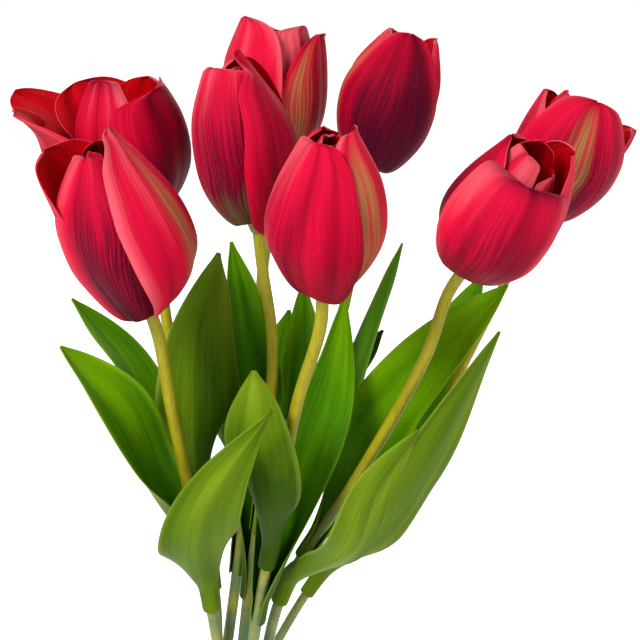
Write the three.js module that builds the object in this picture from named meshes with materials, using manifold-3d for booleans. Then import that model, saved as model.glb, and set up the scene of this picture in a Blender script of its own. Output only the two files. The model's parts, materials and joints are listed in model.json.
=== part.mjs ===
// Bunch of eight artificial tulips on wire-cored stems, held by one moulded crown and handle.
// Millimetres, +Z up. The origin is the middle of the flat cut end of the handle.
// The front of the bunch looks along -Y.
import * as THREE from 'three';
import { mergeGeometries, mergeVertices } from 'three/addons/utils/BufferGeometryUtils.js';
import Module from 'manifold-3d';

const wasm = await Module();
wasm.setup();

// Driving dimensions

const seatGap = 0.3;           // running clearance between pieces that seat in each other

const handleLength = 84;       // cut end to the crown's underside
const handleRadius = 5;
const handleSpigotRadius = 3.4;
const handleSpigotLength = 6;
const handleRings = 2;
const handleRingRise = 0.6;
const handleRingLength = 4;

const wireRadius = 1.4;
const wireCover = 6;           // solid plastic left below the wire at the cut end
const wireRecess = 3.7;        // the wire ends this far below the spigot's end

const crownRadius = 14;
const crownHeight = 13;
const footRingRadius = 9;      // the outer stems' feet stand on this circle
const footBallRadius = 2.9;

const stemRadius = 2.3;
const slimStemRadius = 1.9;
const stemSides = 8;
const stemSteps = 12;
const stemNeck = 14;           // the last stretch runs straight along the head's axis
const pegRadius = 1.5;         // push-fit peg that carries a head
const pegRoot = 2;             // and starts this deep in the stem

const hubRadius = 4.6;         // die-cut ring that joins three petals
const cupSides = 8;
const cupHeight = 3.6;
const cupLip = 0.8;            // the ring overhangs the cup by this
const cupFootRadius = 2.7;
const hubThickness = 0.8;
const petalThickness = 0.6;
const petalRows = 5;
const petalColumns = 4;
const petalInset = 1.2;        // a petal starts this far inside the ring's rim
const petalClaw = 2.4;         // half width at the hub
const petalTip = 0.5;          // half width left at the blunt tip
const petalSector = 0.98;      // radians to each side that a petal keeps to where it can't overlap
const petalSpread = 0.32;      // and this much more where it overlaps its neighbours
const petalLap = 1.35;         // each petal tucks this far under and over its neighbours
const layerGap = 4.2;          // inner petals lie this far inside the outer ones
const innerDrop = 3;           // end this far below them
const innerRise = 3;           // and start off this much more steeply

const ovaryRadius = 2.2;
const ovaryHeight = 15;
const filamentCount = 6;
const filamentRadius = 0.9;
const filamentLength = 13;
const filamentSpread = 4.6;

const leafThickness = 0.7;
const leafRows = 7;
const leafColumns = 6;
const leafRise = 0.75;         // how fast a blade widens above its sheath
const leafTaper = 0.85;        // how fast it narrows to its tip
const leafTip = 0.7;           // half width left at the tip
const openingLength = 48;      // the sheath's tube opens into a flat blade over this length
const sheathWrap = 2.6;        // radians of sheath to each side of the midrib
const sheathGap = 0.45;        // clearance between a sheath and its stem
const sheathLength = 12;

// Colours of the moulded and fabric pieces

const colours = {
  handle: 0x74852f,
  crown: 0x6c7d2c,
  wire: 0x7d8083,
  stem: 0x9fa83c,
  leaf: 0x4f8a16,
  cup: 0x8f8a45,
  outer: 0xc0142f,
  inner: 0xd2263c,
  stamens: 0xc9b64a,
};

// Small helpers

const degrees = THREE.MathUtils.degToRad;
const vector = (x, y, z) => new THREE.Vector3(x, y, z);

// A point of the bunch, whose height is counted from the handle's upper end.
const above = ([x, y, z]) => vector(x, y, handleLength + z);

// A unit vector that leans from +Z by tilt, towards the bearing counted from the front to +X.
function leaning(tilt, bearing) {
  const out = Math.sin(degrees(tilt));
  const across = degrees(bearing);
  return vector(out * Math.sin(across), -out * Math.cos(across), Math.cos(degrees(tilt)));
}

function smoothstep(from, to, value) {
  const share = THREE.MathUtils.clamp((value - from) / (to - from), 0, 1);
  return share * share * (3 - 2 * share);
}

// Keeps only positions, joins equal corners and drops the empty triangles left at poles.
function bare(geometry) {
  const plain = geometry.clone();
  plain.deleteAttribute('normal');
  plain.deleteAttribute('uv');
  const merged = mergeVertices(plain, 1e-4);
  const index = merged.index.array;
  const kept = [];
  for (let first = 0; first < index.length; first += 3) {
    const [one, two, three] = index.slice(first, first + 3);
    if (one !== two && two !== three && three !== one) kept.push(one, two, three);
  }
  merged.setIndex(kept);
  return merged;
}

function solid(geometry) {
  const merged = bare(geometry);
  return new wasm.Manifold(new wasm.Mesh({
    numProp: 3,
    vertProperties: new Float32Array(merged.attributes.position.array),
    triVerts: new Uint32Array(merged.index.array),
  }));
}

function geometryOf(manifold) {
  const mesh = manifold.getMesh();
  const geometry = new THREE.BufferGeometry();
  geometry.setAttribute('position', new THREE.BufferAttribute(new Float32Array(mesh.vertProperties), 3));
  geometry.setIndex(new THREE.BufferAttribute(new Uint32Array(mesh.triVerts), 1));
  geometry.computeVertexNormals();
  return geometry;
}

function joined(geometries) {
  return geometryOf(geometries.map(solid).reduce((whole, piece) => whole.add(piece)));
}

// The same shape with every face turned round.
function flipped(geometry) {
  const plain = bare(geometry);
  const index = plain.index.array;
  for (let first = 0; first < index.length; first += 3) {
    [index[first], index[first + 1]] = [index[first + 1], index[first]];
  }
  return plain;
}

// A solid of revolution about +Z from [radius, height] points.
function lathe(points, segments) {
  const outline = points.map(([radius, height]) => new THREE.Vector2(radius, height));
  const geometry = bare(new THREE.LatheGeometry(outline, segments).rotateX(Math.PI / 2));
  return signedVolume(geometry) < 0 ? flipped(geometry) : geometry;
}

function signedVolume(geometry) {
  const place = geometry.attributes.position;
  const index = geometry.index.array;
  const corner = [vector(0, 0, 0), vector(0, 0, 0), vector(0, 0, 0)];
  let volume = 0;
  for (let first = 0; first < index.length; first += 3) {
    corner.forEach((point, offset) => point.fromBufferAttribute(place, index[first + offset]));
    volume += corner[0].dot(corner[1].clone().cross(corner[2])) / 6;
  }
  return volume;
}

// A curved sheet with real thickness. section(along) gives one cross-section of its middle, for
// along from 0 to 1, and that gives a point for across from -1 to 1. shares are the rows' places.
function sheet(section, shares, columns, thickness) {
  const step = 1e-3;
  const rows = shares.length - 1;
  const sides = [[], []];
  for (const along of shares) {
    const here = section(along);
    const before = section(Math.max(along - step, 0));
    const after = section(Math.min(along + step, 1));
    for (let column = 0; column <= columns; column += 1) {
      const across = (2 * column) / columns - 1;
      const alongEdge = after(across).sub(before(across));
      const acrossEdge = here(across + step).sub(here(across - step));
      const normal = acrossEdge.cross(alongEdge).normalize().multiplyScalar(thickness / 2);
      sides[0].push(here(across).add(normal));
      sides[1].push(here(across).sub(normal));
    }
  }
  const width = columns + 1;
  const back = sides[0].length;
  const faces = [];
  const quad = (a, b, c, d) => faces.push(a, b, c, a, c, d);
  for (let row = 0; row < rows; row += 1) {
    for (let column = 0; column < columns; column += 1) {
      const corner = row * width + column;
      quad(corner, corner + 1, corner + width + 1, corner + width);
      quad(back + corner, back + corner + width, back + corner + width + 1, back + corner + 1);
    }
    const left = row * width;
    const right = left + columns;
    quad(left, left + width, back + left + width, back + left);
    quad(right, back + right, back + right + width, right + width);
  }
  for (let column = 0; column < columns; column += 1) {
    const tip = rows * width + column;
    quad(column, back + column, back + column + 1, column + 1);
    quad(tip, tip + 1, back + tip + 1, back + tip);
  }
  const geometry = new THREE.BufferGeometry();
  geometry.setFromPoints([...sides[0], ...sides[1]]);
  geometry.setIndex(faces);
  return signedVolume(geometry) < 0 ? flipped(geometry) : geometry;
}

// Petals. One petal faces the bearing `at` in the head's own frame, where 0 is the front and
// 90 the right. Its edges meet at a blunt tip, and it hugs a cup whose radius follows its length.
// wide is its half width round the cup, high its height, belly the cup's radius at its fullest,
// which is at the share `full` of its height, and open the radius at the tip. shoulder says how
// much of the belly is kept above that. rise and blunt shape its outline: how fast it widens from
// its claw, and how fast it narrows to its tip. sag is how far the base droops. over says whether
// its left and right edges lie over (1) or tuck under (-1) the neighbours.

const petalDefaults = {
  wide: 25, rise: 0.7, blunt: 0.62, full: 0.42, shoulder: 0.88, sag: 2.5, over: [-1, 1],
};
const petalShares = Array.from({ length: petalRows + 1 }, (_, row) => {
  const turn = (Math.PI * row) / petalRows;
  return (1 - Math.cos(turn)) / 2;
});

function petalSection(petal, seat) {
  const { wide, high, belly, open, rise, blunt, full, shoulder, sag, over } = petal;
  const midline = new THREE.SplineCurve([
    new THREE.Vector2(hubRadius - petalInset, seat),
    new THREE.Vector2(0.5 * belly, seat - sag + 0.03 * high),
    new THREE.Vector2(0.87 * belly, 0.48 * full * high),
    new THREE.Vector2(belly, full * high),
    new THREE.Vector2(shoulder * belly + (1 - shoulder) * open, (full + 0.28) * high),
    new THREE.Vector2(open, high),
  ]);
  const fullest = rise / (rise + blunt);
  const peak = fullest ** rise * (1 - fullest) ** blunt;
  const bearing = degrees(petal.at);
  return (along) => {
    const point = midline.getPoint(along);
    const heading = midline.getTangent(along);
    const claw = petalClaw * (1 - along) ** 2;
    const half = petalTip + claw + (wide * along ** rise * (1 - along) ** blunt) / peak;
    const round = Math.max(point.x, hubRadius);
    const tucked = smoothstep(hubRadius, hubRadius + 2.5, point.x);
    const free = over[0] || over[1] ? smoothstep(hubRadius + 2.5, hubRadius + 7, point.x) : 0;
    const arc = Math.min(half / round, petalSector + petalSpread * free);
    return (across) => {
      const side = across < 0 ? over[0] : over[1];
      const tuck = side * petalLap * Math.abs(across) ** 1.5 * tucked;
      const reach = round + tuck * heading.y;
      const outward = point.x - round + reach * Math.cos(arc * across);
      const sideways = reach * Math.sin(arc * across);
      return vector(
        outward * Math.sin(bearing) + sideways * Math.cos(bearing),
        -outward * Math.cos(bearing) + sideways * Math.sin(bearing),
        point.y - tuck * heading.x,
      );
    };
  };
}

function ring(innerRadius, outerRadius, floor, top, segments) {
  return lathe([
    [innerRadius, floor],
    [outerRadius, floor],
    [outerRadius, top],
    [innerRadius, top],
    [innerRadius, floor],
  ], segments);
}

const boreRadius = (pegRadius + seatGap) / Math.cos(Math.PI / cupSides);

function petalLayer(petals, form, seat) {
  const hub = ring(boreRadius, hubRadius, seat - hubThickness / 2, seat + hubThickness / 2, cupSides);
  const shapes = petals.map((petal) => sheet(
    petalSection({ ...form, ...petal }, seat),
    petalShares,
    petalColumns,
    petalThickness,
  ));
  return joined([hub, ...shapes]);
}

function cup() {
  const cupTopRadius = hubRadius - cupLip;
  return lathe([
    [boreRadius, 0],
    [cupFootRadius, 0],
    [0.85 * cupTopRadius, 0.45 * cupHeight],
    [cupTopRadius, cupHeight],
    [boreRadius, cupHeight],
    [boreRadius, 0],
  ], cupSides);
}

function stamens(floor) {
  const ovary = lathe([
    [0, floor],
    [ovaryRadius, floor],
    [0.8 * ovaryRadius, floor + 0.7 * ovaryHeight],
    [ovaryRadius, floor + 0.85 * ovaryHeight],
    [0, floor + ovaryHeight],
  ], 6);
  const filaments = [];
  for (let count = 0; count < filamentCount; count += 1) {
    const turn = (count * 360) / filamentCount;
    const foot = leaning(90, turn).multiplyScalar(0.5 * ovaryRadius).setZ(floor + 1);
    const head = leaning(90, turn).multiplyScalar(filamentSpread).setZ(floor + filamentLength);
    const path = new THREE.LineCurve3(foot, head);
    filaments.push(tube(path, filamentRadius, 4, 1));
  }
  return joined([ovary, ...filaments]);
}

// Stems

function tube(path, radius, sides, steps) {
  const section = new THREE.Shape();
  for (let side = 0; side < sides; side += 1) {
    const turn = (2 * Math.PI * side) / sides;
    if (side === 0) section.moveTo(radius, 0);
    else section.lineTo(radius * Math.cos(turn), radius * Math.sin(turn));
  }
  section.closePath();
  return new THREE.ExtrudeGeometry(section, { steps, extrudePath: path, bevelEnabled: false });
}

function stemPath(flower) {
  const seat = cupHeight + hubThickness / 2 + 2 * seatGap;
  const top = flower.base.clone().addScaledVector(flower.axis, -seat);
  const below = top.clone().addScaledVector(flower.axis, -stemNeck);
  const points = [flower.foot, ...flower.course.map(above), below, top];
  return new THREE.CatmullRomCurve3(points, false, 'centripetal');
}

const pegLength = cupHeight + 2 * hubThickness + 3 * seatGap;

function stem(flower) {
  const shaft = tube(flower.path, flower.radius, stemSides, stemSteps);
  const ball = new THREE.SphereGeometry(footBallRadius, 8, 6)
    .translate(flower.foot.x, flower.foot.y, flower.foot.z);
  const top = flower.path.getPoint(1);
  const pegPath = new THREE.LineCurve3(
    top.clone().addScaledVector(flower.axis, -pegRoot),
    top.clone().addScaledVector(flower.axis, pegLength),
  );
  return joined([shaft, ball, tube(pegPath, pegRadius, 8, 1)]);
}

// Leaves. A leaf's tubular sheath hugs its stem from the height `from`, with its midrib on the
// side that the blade leaves by. The blade goes through the points of `through`, up to its tip.
// face is where its hollow looks, wide its half width and fold half the angle of its curl.

function leafSurface(flower, leaf) {
  const rise = 1 / flower.path.getLength();
  const start = nearestShare(flower.path, handleLength + leaf.from);
  const through = leaf.through.map(above);
  const beside = flower.path.getPointAt(nearestShare(flower.path, through[0].z));
  const leave = through[0].clone().sub(beside).projectOnPlane(flower.path.getTangentAt(start)).normalize();
  const inner = flower.radius + sheathGap + leafThickness / 2;
  const sheathRadius = inner / Math.cos(sheathWrap / leafColumns);
  const midrib = (share) => flower.path.getPointAt(share).addScaledVector(leave, sheathRadius);
  const spine = new THREE.CatmullRomCurve3([
    midrib(start),
    midrib(start + 0.5 * sheathLength * rise),
    midrib(start + sheathLength * rise),
    ...through,
  ], false, 'centripetal');
  const sheathShare = sheathLength / spine.getLength();
  const openShare = sheathShare + openingLength / spine.getLength();
  const face = vector(...leaf.face).normalize();
  return (share) => {
    const tangent = spine.getTangentAt(share);
    const look = leave.clone().negate().lerp(face, smoothstep(0.6 * openShare, 1.5 * openShare, share));
    look.projectOnPlane(tangent).normalize();
    const side = tangent.clone().cross(look);
    const wrap = THREE.MathUtils.lerp(sheathWrap, leaf.fold, smoothstep(0, openShare, share));
    const blade = Math.max(share - sheathShare, 0) / (1 - sheathShare);
    const fullest = leafRise / (leafRise + leafTaper);
    const peak = fullest ** leafRise * (1 - fullest) ** leafTaper;
    const grown = (leaf.wide * blade ** leafRise * (1 - blade) ** leafTaper) / peak;
    const tied = sheathRadius * sheathWrap * (1 - smoothstep(0, 0.3, blade));
    const half = Math.max(Math.hypot(grown, tied), leafTip);
    const round = half / wrap;
    const middle = spine.getPointAt(share);
    return (across) => middle.clone()
      .addScaledVector(side, round * Math.sin(wrap * across))
      .addScaledVector(look, round * (1 - Math.cos(wrap * across)));
  };
}

const leafShares = Array.from({ length: leafRows + 1 }, (_, row) => (row / leafRows) ** 1.4);

function nearestShare(path, height) {
  let best = 0;
  for (let share = 0; share <= 1; share += 0.002) {
    if (Math.abs(path.getPointAt(share).z - height) < Math.abs(path.getPointAt(best).z - height)) {
      best = share;
    }
  }
  return best;
}

// Crown, handle and core wire

const crownFloor = handleLength + seatGap;
const crownTop = crownFloor + crownHeight;

function handle() {
  const points = [[wireRadius + seatGap, wireCover], [0, wireCover], [0, 0], [handleRadius, 0]];
  for (let count = 1; count <= handleRings; count += 1) {
    const height = (count * handleLength) / (handleRings + 1);
    points.push([handleRadius, height - handleRingLength / 2]);
    points.push([handleRadius + handleRingRise, height]);
    points.push([handleRadius, height + handleRingLength / 2]);
  }
  points.push([handleRadius, handleLength]);
  points.push([handleSpigotRadius, handleLength]);
  points.push([handleSpigotRadius, handleLength + handleSpigotLength]);
  points.push([wireRadius + seatGap, handleLength + handleSpigotLength]);
  points.push([wireRadius + seatGap, wireCover]);
  return lathe(points, 16);
}

function coreWire() {
  const wireLength = handleLength + handleSpigotLength - wireRecess - wireCover - seatGap;
  return new THREE.CylinderGeometry(wireRadius, wireRadius, wireLength, 10)
    .rotateX(Math.PI / 2)
    .translate(0, 0, wireCover + seatGap + wireLength / 2);
}

function footPlace(bearing) {
  if (bearing === null) return vector(0, 0, crownTop);
  return leaning(90, bearing).multiplyScalar(footRingRadius).setZ(crownTop);
}

function crown(feet) {
  const socketRadius = handleSpigotRadius + 2 * seatGap;
  const socketTop = crownFloor + handleSpigotLength + seatGap;
  const body = solid(lathe([
    [0, socketTop],
    [socketRadius, socketTop],
    [socketRadius, crownFloor],
    [0.62 * crownRadius, crownFloor],
    [0.9 * crownRadius, crownFloor + 0.4 * crownHeight],
    [crownRadius, crownTop - 0.2 * crownHeight],
    [0.96 * crownRadius, crownTop],
    [0, crownTop],
    [0, socketTop],
  ], 20));
  const recess = footBallRadius + seatGap;
  return geometryOf(feet.reduce((whole, foot) => whole.subtract(solid(
    new THREE.SphereGeometry(recess / Math.cos(Math.PI / 8), 8, 6).translate(foot.x, foot.y, foot.z),
  )), body));
}

// The eight flowers. foot is the bearing of the stem's foot round the crown, base the middle of
// the head's seat, tilt and towards the lean of the head, course the points that the stem passes.
// Heights count from the handle's upper end.

const flowers = {
  a: {
    foot: 283, base: [-36, 32, 214.6], tilt: 18, towards: -39,
    course: [[-9, 4, 51], [-18, 14, 106], [-29, 26, 171]],
    head: { high: 48, belly: 25, open: 26, wide: 29, blunt: 0.5 },
    outer: [
      { at: 63, wide: 27, high: 47, belly: 22.5, open: 18, rise: 0.45, blunt: 0.22 },
      { at: 248, wide: 27, high: 49, belly: 27, open: 47, blunt: 0.75 },
      { at: 301, wide: 30, high: 53, belly: 34, open: 41, blunt: 0.65, full: 0.5 },
    ],
    inner: [
      { at: -28, wide: 27, high: 54, belly: 19.5, open: 7, blunt: 0.55 },
      { at: 139, wide: 26, high: 46, belly: 17.8, open: 18 },
      { at: 222, wide: 30, high: 47, belly: 18.8, open: 28.5, blunt: 0.5, shoulder: 0.84 },
    ],
    leaves: [
      {
        from: 56, face: [0.8, -0.4, 0.6], wide: 15, fold: 0.6,
        through: [[-31, 12, 116], [-43, 22, 146], [-67, 26, 175]],
      },
      {
        from: 84, face: [-0.2, 1, 0.2], wide: 15.5, fold: 0.6,
        through: [[-15, -6, 132], [-14, -2, 165], [-5, 4, 199]],
      },
    ],
  },
  b: {
    foot: -26, base: [-26.6, -51.5, 195.3], tilt: 19, towards: -39,
    course: [[-7, -14, 41], [-12, -27, 91], [-20, -41, 151]],
    head: { high: 62, belly: 21, open: 7, sag: 3, over: [1, -1] },
    outer: [
      { at: -30, wide: 30, high: 57, blunt: 0.32, sag: 6, over: [1, -1] },
      {
        at: 80, wide: 27, high: 64, belly: 23, open: 5,
        rise: 1.2, full: 0.3, shoulder: 0.78, sag: 1.5, over: [1, -1],
      },
      { at: 242, wide: 26, high: 56, open: 24, blunt: 0.4 },
    ],
    inner: [
      { at: 71, high: 55, belly: 15.2, open: 3, shoulder: 0.8 },
      { at: 196, wide: 30, high: 58, belly: 15.2, open: 5, shoulder: 0.8 },
      { at: 315, high: 57, belly: 15.3, open: 3.2, blunt: 0.35, shoulder: 0.78 },
    ],
    leaves: [
      {
        from: 52, face: [-0.1, 1, 0.1], wide: 17, fold: 0.5,
        through: [[-9, -56, 107], [-1, -66, 130], [18, -68, 159]],
      },
      {
        from: 76, face: [0.9, -0.3, 0.5], wide: 16, fold: 0.6,
        through: [[-28, -34, 114], [-42, -36, 146], [-61, -34, 172]],
      },
    ],
  },
  c: {
    foot: null, base: [10.8, -11.9, 214.6], tilt: 6, towards: -99,
    course: [[5, -3, 57], [13, -7, 116], [16, -9, 167]],
    head: { high: 61, belly: 19, open: 6, wide: 24, over: [1, -1] },
    outer: [
      { at: -43, wide: 26, high: 58, belly: 19.5, open: 12, blunt: 0.26, sag: 1, over: [1, -1] },
      {
        at: 72, high: 63, belly: 19, open: 0, rise: 0.8,
        blunt: 0.7, full: 0.36, shoulder: 0.8, sag: 1, over: [1, -1],
      },
      { at: 194, high: 60 },
    ],
    inner: [
      { at: 13, high: 57, belly: 13.8, open: 2.6, shoulder: 0.82 },
      { at: 129, high: 57, belly: 12.3, open: 2.6, shoulder: 0.8 },
      { at: 251, high: 55, belly: 14.8, open: 4.6, shoulder: 0.82 },
    ],
    leaves: [
      {
        from: 56, face: [0.1, -1, 0.1], wide: 14, fold: 0.7,
        through: [[9.5, 11, 120], [5, 15, 165], [-1, 20, 200]],
      },
      {
        from: 86, face: [-0.8, -0.8, 0.2], wide: 11, fold: 0.6,
        through: [[25, -3, 130], [28, 5, 158], [28, 14, 186]],
      },
    ],
  },
  d: {
    foot: 231, base: [14.9, 47.9, 231], tilt: 4, towards: 24,
    course: [[-1, 14, 56], [7, 29, 121], [10, 40, 178]],
    head: { high: 52, belly: 21, open: 12, wide: 27 },
    outer: [
      { at: -64, wide: 30, high: 56, open: 13, blunt: 0.5 },
      { at: 74, wide: 27, high: 50, open: 19, blunt: 0.62 },
      { at: 190, high: 50 },
    ],
    inner: [{ at: 60, wide: 30, high: 53, open: 12, blunt: 0.5 }, { at: 165 }, { at: 285, high: 48 }],
    leaves: [
      {
        from: 58, face: [0, -1, 0.4], wide: 14, fold: 0.6,
        through: [[12, 37, 102], [16, 52, 132], [21, 62, 161]],
      },
      {
        from: 86, face: [0.8, -0.6, 0.3], wide: 13, fold: 0.6,
        through: [[-9, 31, 116], [-19, 44, 138], [-23, 50, 168]],
      },
    ],
  },
  e: {
    foot: 180, base: [54.7, 37.7, 230.3], tilt: 17.6, towards: 77,
    course: [[9, 14, 51], [26, 22, 111], [46, 32, 178]],
    head: { high: 54, belly: 18.5, open: 7, wide: 23 },
    outer: [
      { at: -7, wide: 26, high: 53, belly: 19, open: 5, blunt: 0.75, over: [1, 1] },
      { at: 106, high: 53, open: 11, over: [-1, 1] },
      { at: 241, wide: 26, high: 52, open: 9, blunt: 0.45, over: [-1, -1] },
    ],
    inner: [{ at: 49 }, { at: 169 }, { at: 290 }],
    leaves: [
      {
        from: 56, face: [-0.8, -0.4, 0.3], wide: 11, fold: 0.6,
        through: [[40, 18, 116], [54, 33, 152], [69, 46, 194]],
      },
      {
        from: 90, face: [-0.6, -1, 0.3], wide: 9, fold: 0.5,
        through: [[35, 42, 124], [46, 52, 136], [62, 61, 152]],
      },
    ],
  },
  f: {
    foot: 26, base: [35.5, -61.8, 203.8], tilt: 15, towards: 11,
    course: [[8, -17, 46], [17, -34, 101], [26, -49, 154]],
    head: { high: 54, belly: 20, open: 7, wide: 25, shoulder: 0.76 },
    outer: [
      {
        at: -41, wide: 28, high: 52, rise: 0.85, blunt: 0.5,
        full: 0.38, shoulder: 0.68, sag: 3.5, over: [1, 1],
      },
      { at: 76, wide: 27, high: 55, open: 7, over: [-1, 1] },
      { at: 205, wide: 24, high: 53, over: [-1, -1] },
    ],
    inner: [
      { at: 25, high: 49, belly: 15.8, open: 3.7, shoulder: 0.76 },
      { at: 142, high: 52, belly: 14.3, open: 4.2, shoulder: 0.68 },
      { at: 248, wide: 28, high: 52, belly: 15.3, open: 4.5, blunt: 0.4, shoulder: 0.7 },
    ],
    leaves: [
      {
        from: 54, face: [0.4, -1, 0.1], wide: 14, fold: 0.5,
        through: [[27, -19, 117], [37, -15, 146], [44, -10, 185]],
      },
      {
        from: 82, face: [0.3, 1, 0.2], wide: 12.5, fold: 0.6,
        through: [[12, -49, 118], [10, -55, 144], [11, -54, 169]],
      },
    ],
  },
  g: {
    foot: 77, base: [87.4, -47.1, 207.8], tilt: 36.1, towards: 41,
    course: [[20, -14, 65], [48, -25, 116], [73, -37, 169]],
    head: { high: 55, belly: 19.5, open: 12, wide: 26, full: 0.38, sag: 3.5 },
    outer: [
      { at: -8, wide: 22, high: 44, open: 13, blunt: 0.26, over: [1, 1] },
      { at: 108, high: 52, open: 12, over: [-1, 1] },
      { at: 235, wide: 28, high: 48, open: 12, blunt: 0.45, shoulder: 0.74, over: [-1, -1] },
    ],
    inner: [
      { at: 68, high: 45, belly: 13.8, open: 7.7, shoulder: 0.84 },
      { at: 177, wide: 28, high: 51, belly: 16, open: 5.2, blunt: 0.4, shoulder: 0.86 },
      { at: 311, wide: 25, high: 50, belly: 15, open: 6.2, blunt: 0.45 },
    ],
    leaves: [
      {
        from: 59, face: [-0.1, 0.9, 0.5], wide: 12, fold: 0.5,
        through: [[45, -50, 99], [54, -61, 128], [69, -63, 150]],
      },
      {
        from: 81, face: [-0.3, -0.9, 0.5], wide: 14.5, fold: 0.6,
        through: [[51, 0, 122], [73, -8, 154], [106, -8, 189]],
      },
    ],
  },
  h: {
    foot: 128, base: [122.9, 23.8, 214], tilt: 24, towards: 54, slim: true,
    course: [[30, 9, 54], [68, 14, 102], [101, 20, 166]],
    head: { high: 48, belly: 20.5, open: 13, wide: 26 },
    outer: [
      { at: -1, wide: 27, high: 50, open: 11, blunt: 0.62, over: [1, 1] },
      { at: 101, high: 40, open: 23, over: [-1, 1] },
      { at: 248, wide: 28, high: 43, open: 18, over: [-1, -1] },
    ],
    inner: [{ at: 52 }, { at: 167, high: 42 }, { at: 272, high: 47, open: 10 }],
    leaves: [
      {
        from: 52, face: [-0.3, 0.8, 0.6], wide: 11.5, fold: 0.5,
        through: [[58, -25, 97], [78, -41, 138], [99, -42, 180]],
      },
      {
        from: 76, face: [0.1, -0.9, 0.5], wide: 13, fold: 0.6,
        through: [[68, 32, 116], [83, 40, 144], [103, 46, 180]],
      },
    ],
  },
};

// Assembly

const bunch = new THREE.Group();

function place(name, geometry, colour, roughness, metalness = 0) {
  const material = new THREE.MeshStandardMaterial({ color: colour, roughness, metalness });
  const mesh = new THREE.Mesh(geometry, material);
  mesh.name = name;
  return mesh;
}

for (const flower of Object.values(flowers)) {
  flower.base = above(flower.base);
  flower.axis = leaning(flower.tilt, flower.towards);
  flower.foot = footPlace(flower.foot);
  flower.radius = flower.slim ? slimStemRadius : stemRadius;
  flower.path = stemPath(flower);
}

const feet = Object.values(flowers).map((flower) => flower.foot);
bunch.add(place('handle', handle(), colours.handle, 0.5));
bunch.add(place('crown', crown(feet), colours.crown, 0.5));
bunch.add(place('core_wire', coreWire(), colours.wire, 0.4, 1));

for (const [letter, flower] of Object.entries(flowers)) {
  bunch.add(place(`stem_${letter}`, stem(flower), colours.stem, 0.45));
  flower.leaves.forEach((leaf, count) => {
    const shape = sheet(leafSurface(flower, leaf), leafShares, leafColumns, leafThickness);
    bunch.add(place(`leaf_${letter}_${count + 1}`, shape, colours.leaf, 0.5));
  });

  const head = new THREE.Group();
  head.position.copy(flower.base);
  head.quaternion.setFromUnitVectors(vector(0, 0, 1), flower.axis);
  const outerForm = { ...petalDefaults, ...flower.head };
  const innerForm = {
    ...outerForm,
    belly: outerForm.belly - layerGap,
    open: Math.max(0.6 * outerForm.open, hubRadius - 1),
    high: outerForm.high - innerDrop,
    sag: outerForm.sag - innerRise,
    over: [0, 0],
  };
  const innerSeat = hubThickness + seatGap;
  const shell = cup().translate(0, 0, -cupHeight - hubThickness / 2 - seatGap);
  head.add(place(`cup_${letter}`, shell, colours.cup, 0.6));
  head.add(place(`outer_petals_${letter}`, petalLayer(flower.outer, outerForm, 0), colours.outer, 0.7));
  head.add(place(`inner_petals_${letter}`, petalLayer(flower.inner, innerForm, innerSeat), colours.inner, 0.7));
  head.add(place(`stamens_${letter}`, stamens(innerSeat + hubThickness / 2 + seatGap), colours.stamens, 0.6));
  bunch.add(head);
}

export default bunch;
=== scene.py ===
# %% [markdown]
# # Dressing a bunch of artificial tulips
#
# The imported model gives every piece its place, its size and the body that it moves with. Its sheets
# are coarse, though: each side of a petal has twenty flat facets. This lesson replaces the petals,
# leaves and stems with finely shaped ones in the same places, and gives everything its finish:
# printed fabric, veined leaf cloth and moulded plastic. Lengths in the tables are in millimetres, as
# a maker would write them, and are turned into metres at the moment that a mesh is made.

# %% Load the frame and measure it
import json
import math

import bpy
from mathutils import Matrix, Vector


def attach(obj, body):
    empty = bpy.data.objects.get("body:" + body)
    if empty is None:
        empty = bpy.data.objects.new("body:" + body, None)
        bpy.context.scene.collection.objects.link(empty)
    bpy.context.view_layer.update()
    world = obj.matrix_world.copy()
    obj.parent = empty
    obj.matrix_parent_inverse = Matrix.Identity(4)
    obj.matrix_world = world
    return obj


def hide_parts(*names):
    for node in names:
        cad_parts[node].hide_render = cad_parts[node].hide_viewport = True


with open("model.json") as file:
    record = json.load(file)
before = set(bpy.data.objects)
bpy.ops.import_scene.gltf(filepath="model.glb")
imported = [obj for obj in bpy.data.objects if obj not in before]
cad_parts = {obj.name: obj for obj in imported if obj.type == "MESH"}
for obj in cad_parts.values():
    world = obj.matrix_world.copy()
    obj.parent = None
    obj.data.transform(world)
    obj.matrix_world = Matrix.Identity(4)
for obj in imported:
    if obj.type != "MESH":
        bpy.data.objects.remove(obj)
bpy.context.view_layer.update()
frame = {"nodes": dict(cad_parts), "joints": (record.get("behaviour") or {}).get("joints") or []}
joints = {joint["name"]: joint for joint in frame["joints"]}
MM = 0.001

# %% [markdown]
# The camera comes first. The photograph was taken from a little above, looking down by about
# fifteen degrees with a long lens, so the heads show their fronts and a little of their open tops.
# The camera aims at the middle of the picture, and its lens is the one at which a pixel covers
# 0.42 mm at that distance.

# %% Place the camera
picture_pixels = 640
millimetres_per_pixel = 0.42
camera_distance = 580.0
looking_down = math.radians(15.0)
aim = Vector((34.4, 40.2, 246.1)) * MM
back = Vector((0.0, -math.cos(looking_down), math.sin(looking_down)))

bpy.ops.object.camera_add(location=aim + back * camera_distance * MM)
camera = bpy.context.object
camera.name = "camera"
camera.rotation_euler = back.to_track_quat("Z", "Y").to_euler()
camera.data.sensor_width = 36.0
camera.data.lens = 36.0 * camera_distance / (millimetres_per_pixel * picture_pixels)
camera.data.clip_end = 20.0
bpy.context.scene.camera = camera
bpy.context.scene.view_settings.view_transform = "Standard"
print("lens", round(camera.data.lens, 1), "mm")

# %% [markdown]
# A product photograph of this kind is lit by large soft boxes. One broad lamp from the upper left
# in front shapes the petals, a weaker one fills the right, and one behind gives the rims a thin
# light edge. The floor is pale and looks white to the camera, but it still takes a soft shadow.

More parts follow.
